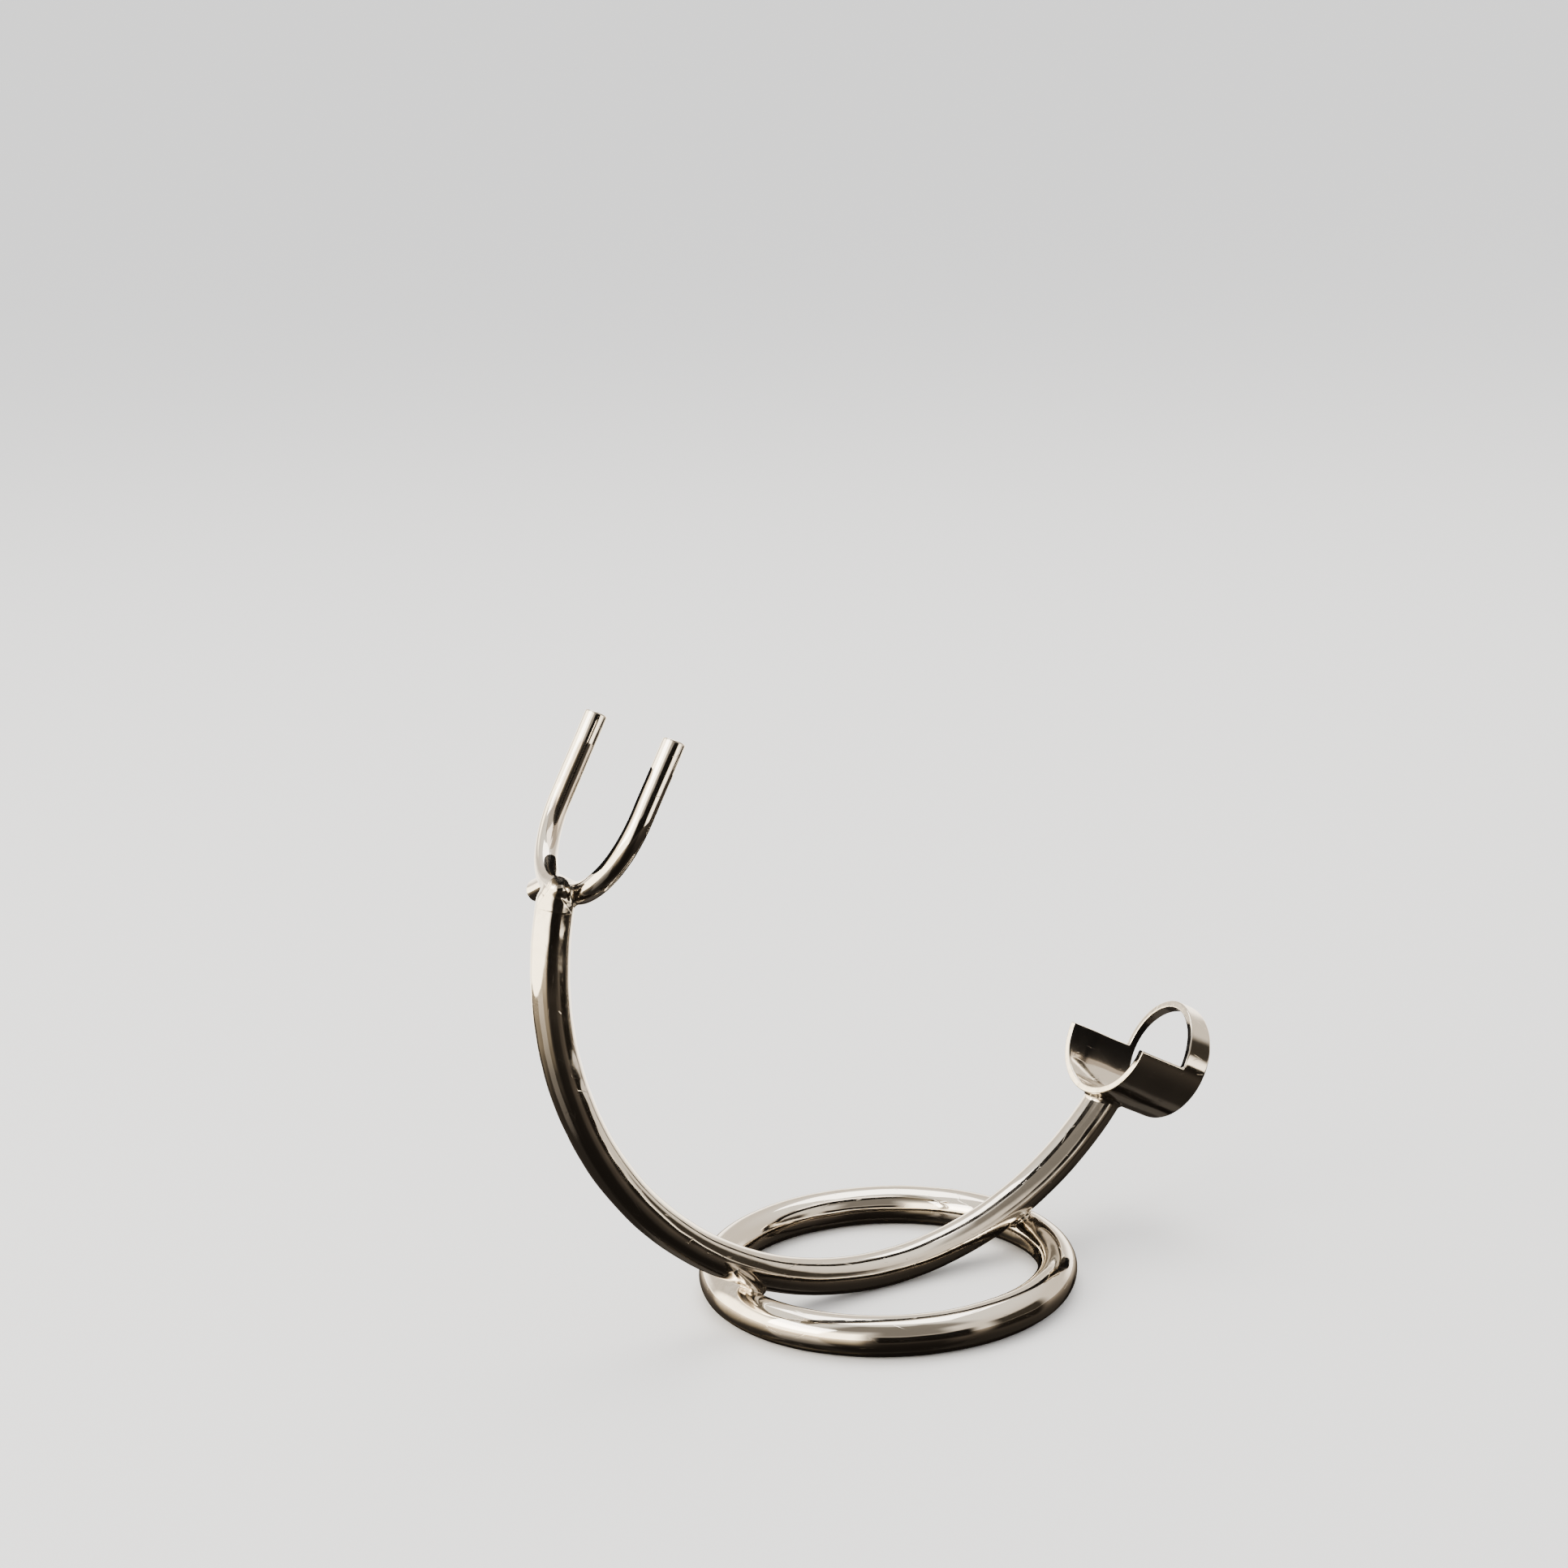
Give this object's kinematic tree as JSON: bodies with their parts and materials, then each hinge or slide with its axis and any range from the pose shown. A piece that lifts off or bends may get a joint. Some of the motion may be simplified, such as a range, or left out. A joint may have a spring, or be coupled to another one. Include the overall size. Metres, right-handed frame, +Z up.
{
  "type": "straight razor display stand",
  "caption": "Chromed wire stand for an open straight razor: ring base, upright arc arm, two-prong fork for the handle and a tube cradle for the tail.",
  "frame": {"origin": "centre of the base ring, at table height", "axes": "+X from the fork side to the cradle side in the arm's plane, +Y across the arm away from the near prong, +Z up"},
  "size_m": [0.1015, 0.0508, 0.0825],
  "materials": {
    "chrome_ring": "polished plating, warm tone",
    "chrome_arm": "polished plating, warm tone",
    "chrome_wire": "polished plating, warm tone",
    "chrome_tube": "polished plating, slightly wavy",
    "chrome_weld": "plated over an uneven bead"
  },
  "bodies": {
    "root": {"base_ring": "chrome_ring", "arm": "chrome_arm", "fork_front": "chrome_wire", "fork_back": "chrome_wire", "cradle": "chrome_tube", "weld_front": "chrome_weld", "weld_rear": "chrome_weld", "weld_fork": "chrome_weld", "weld_cradle": "chrome_weld"}
  },
  "joints": []
}
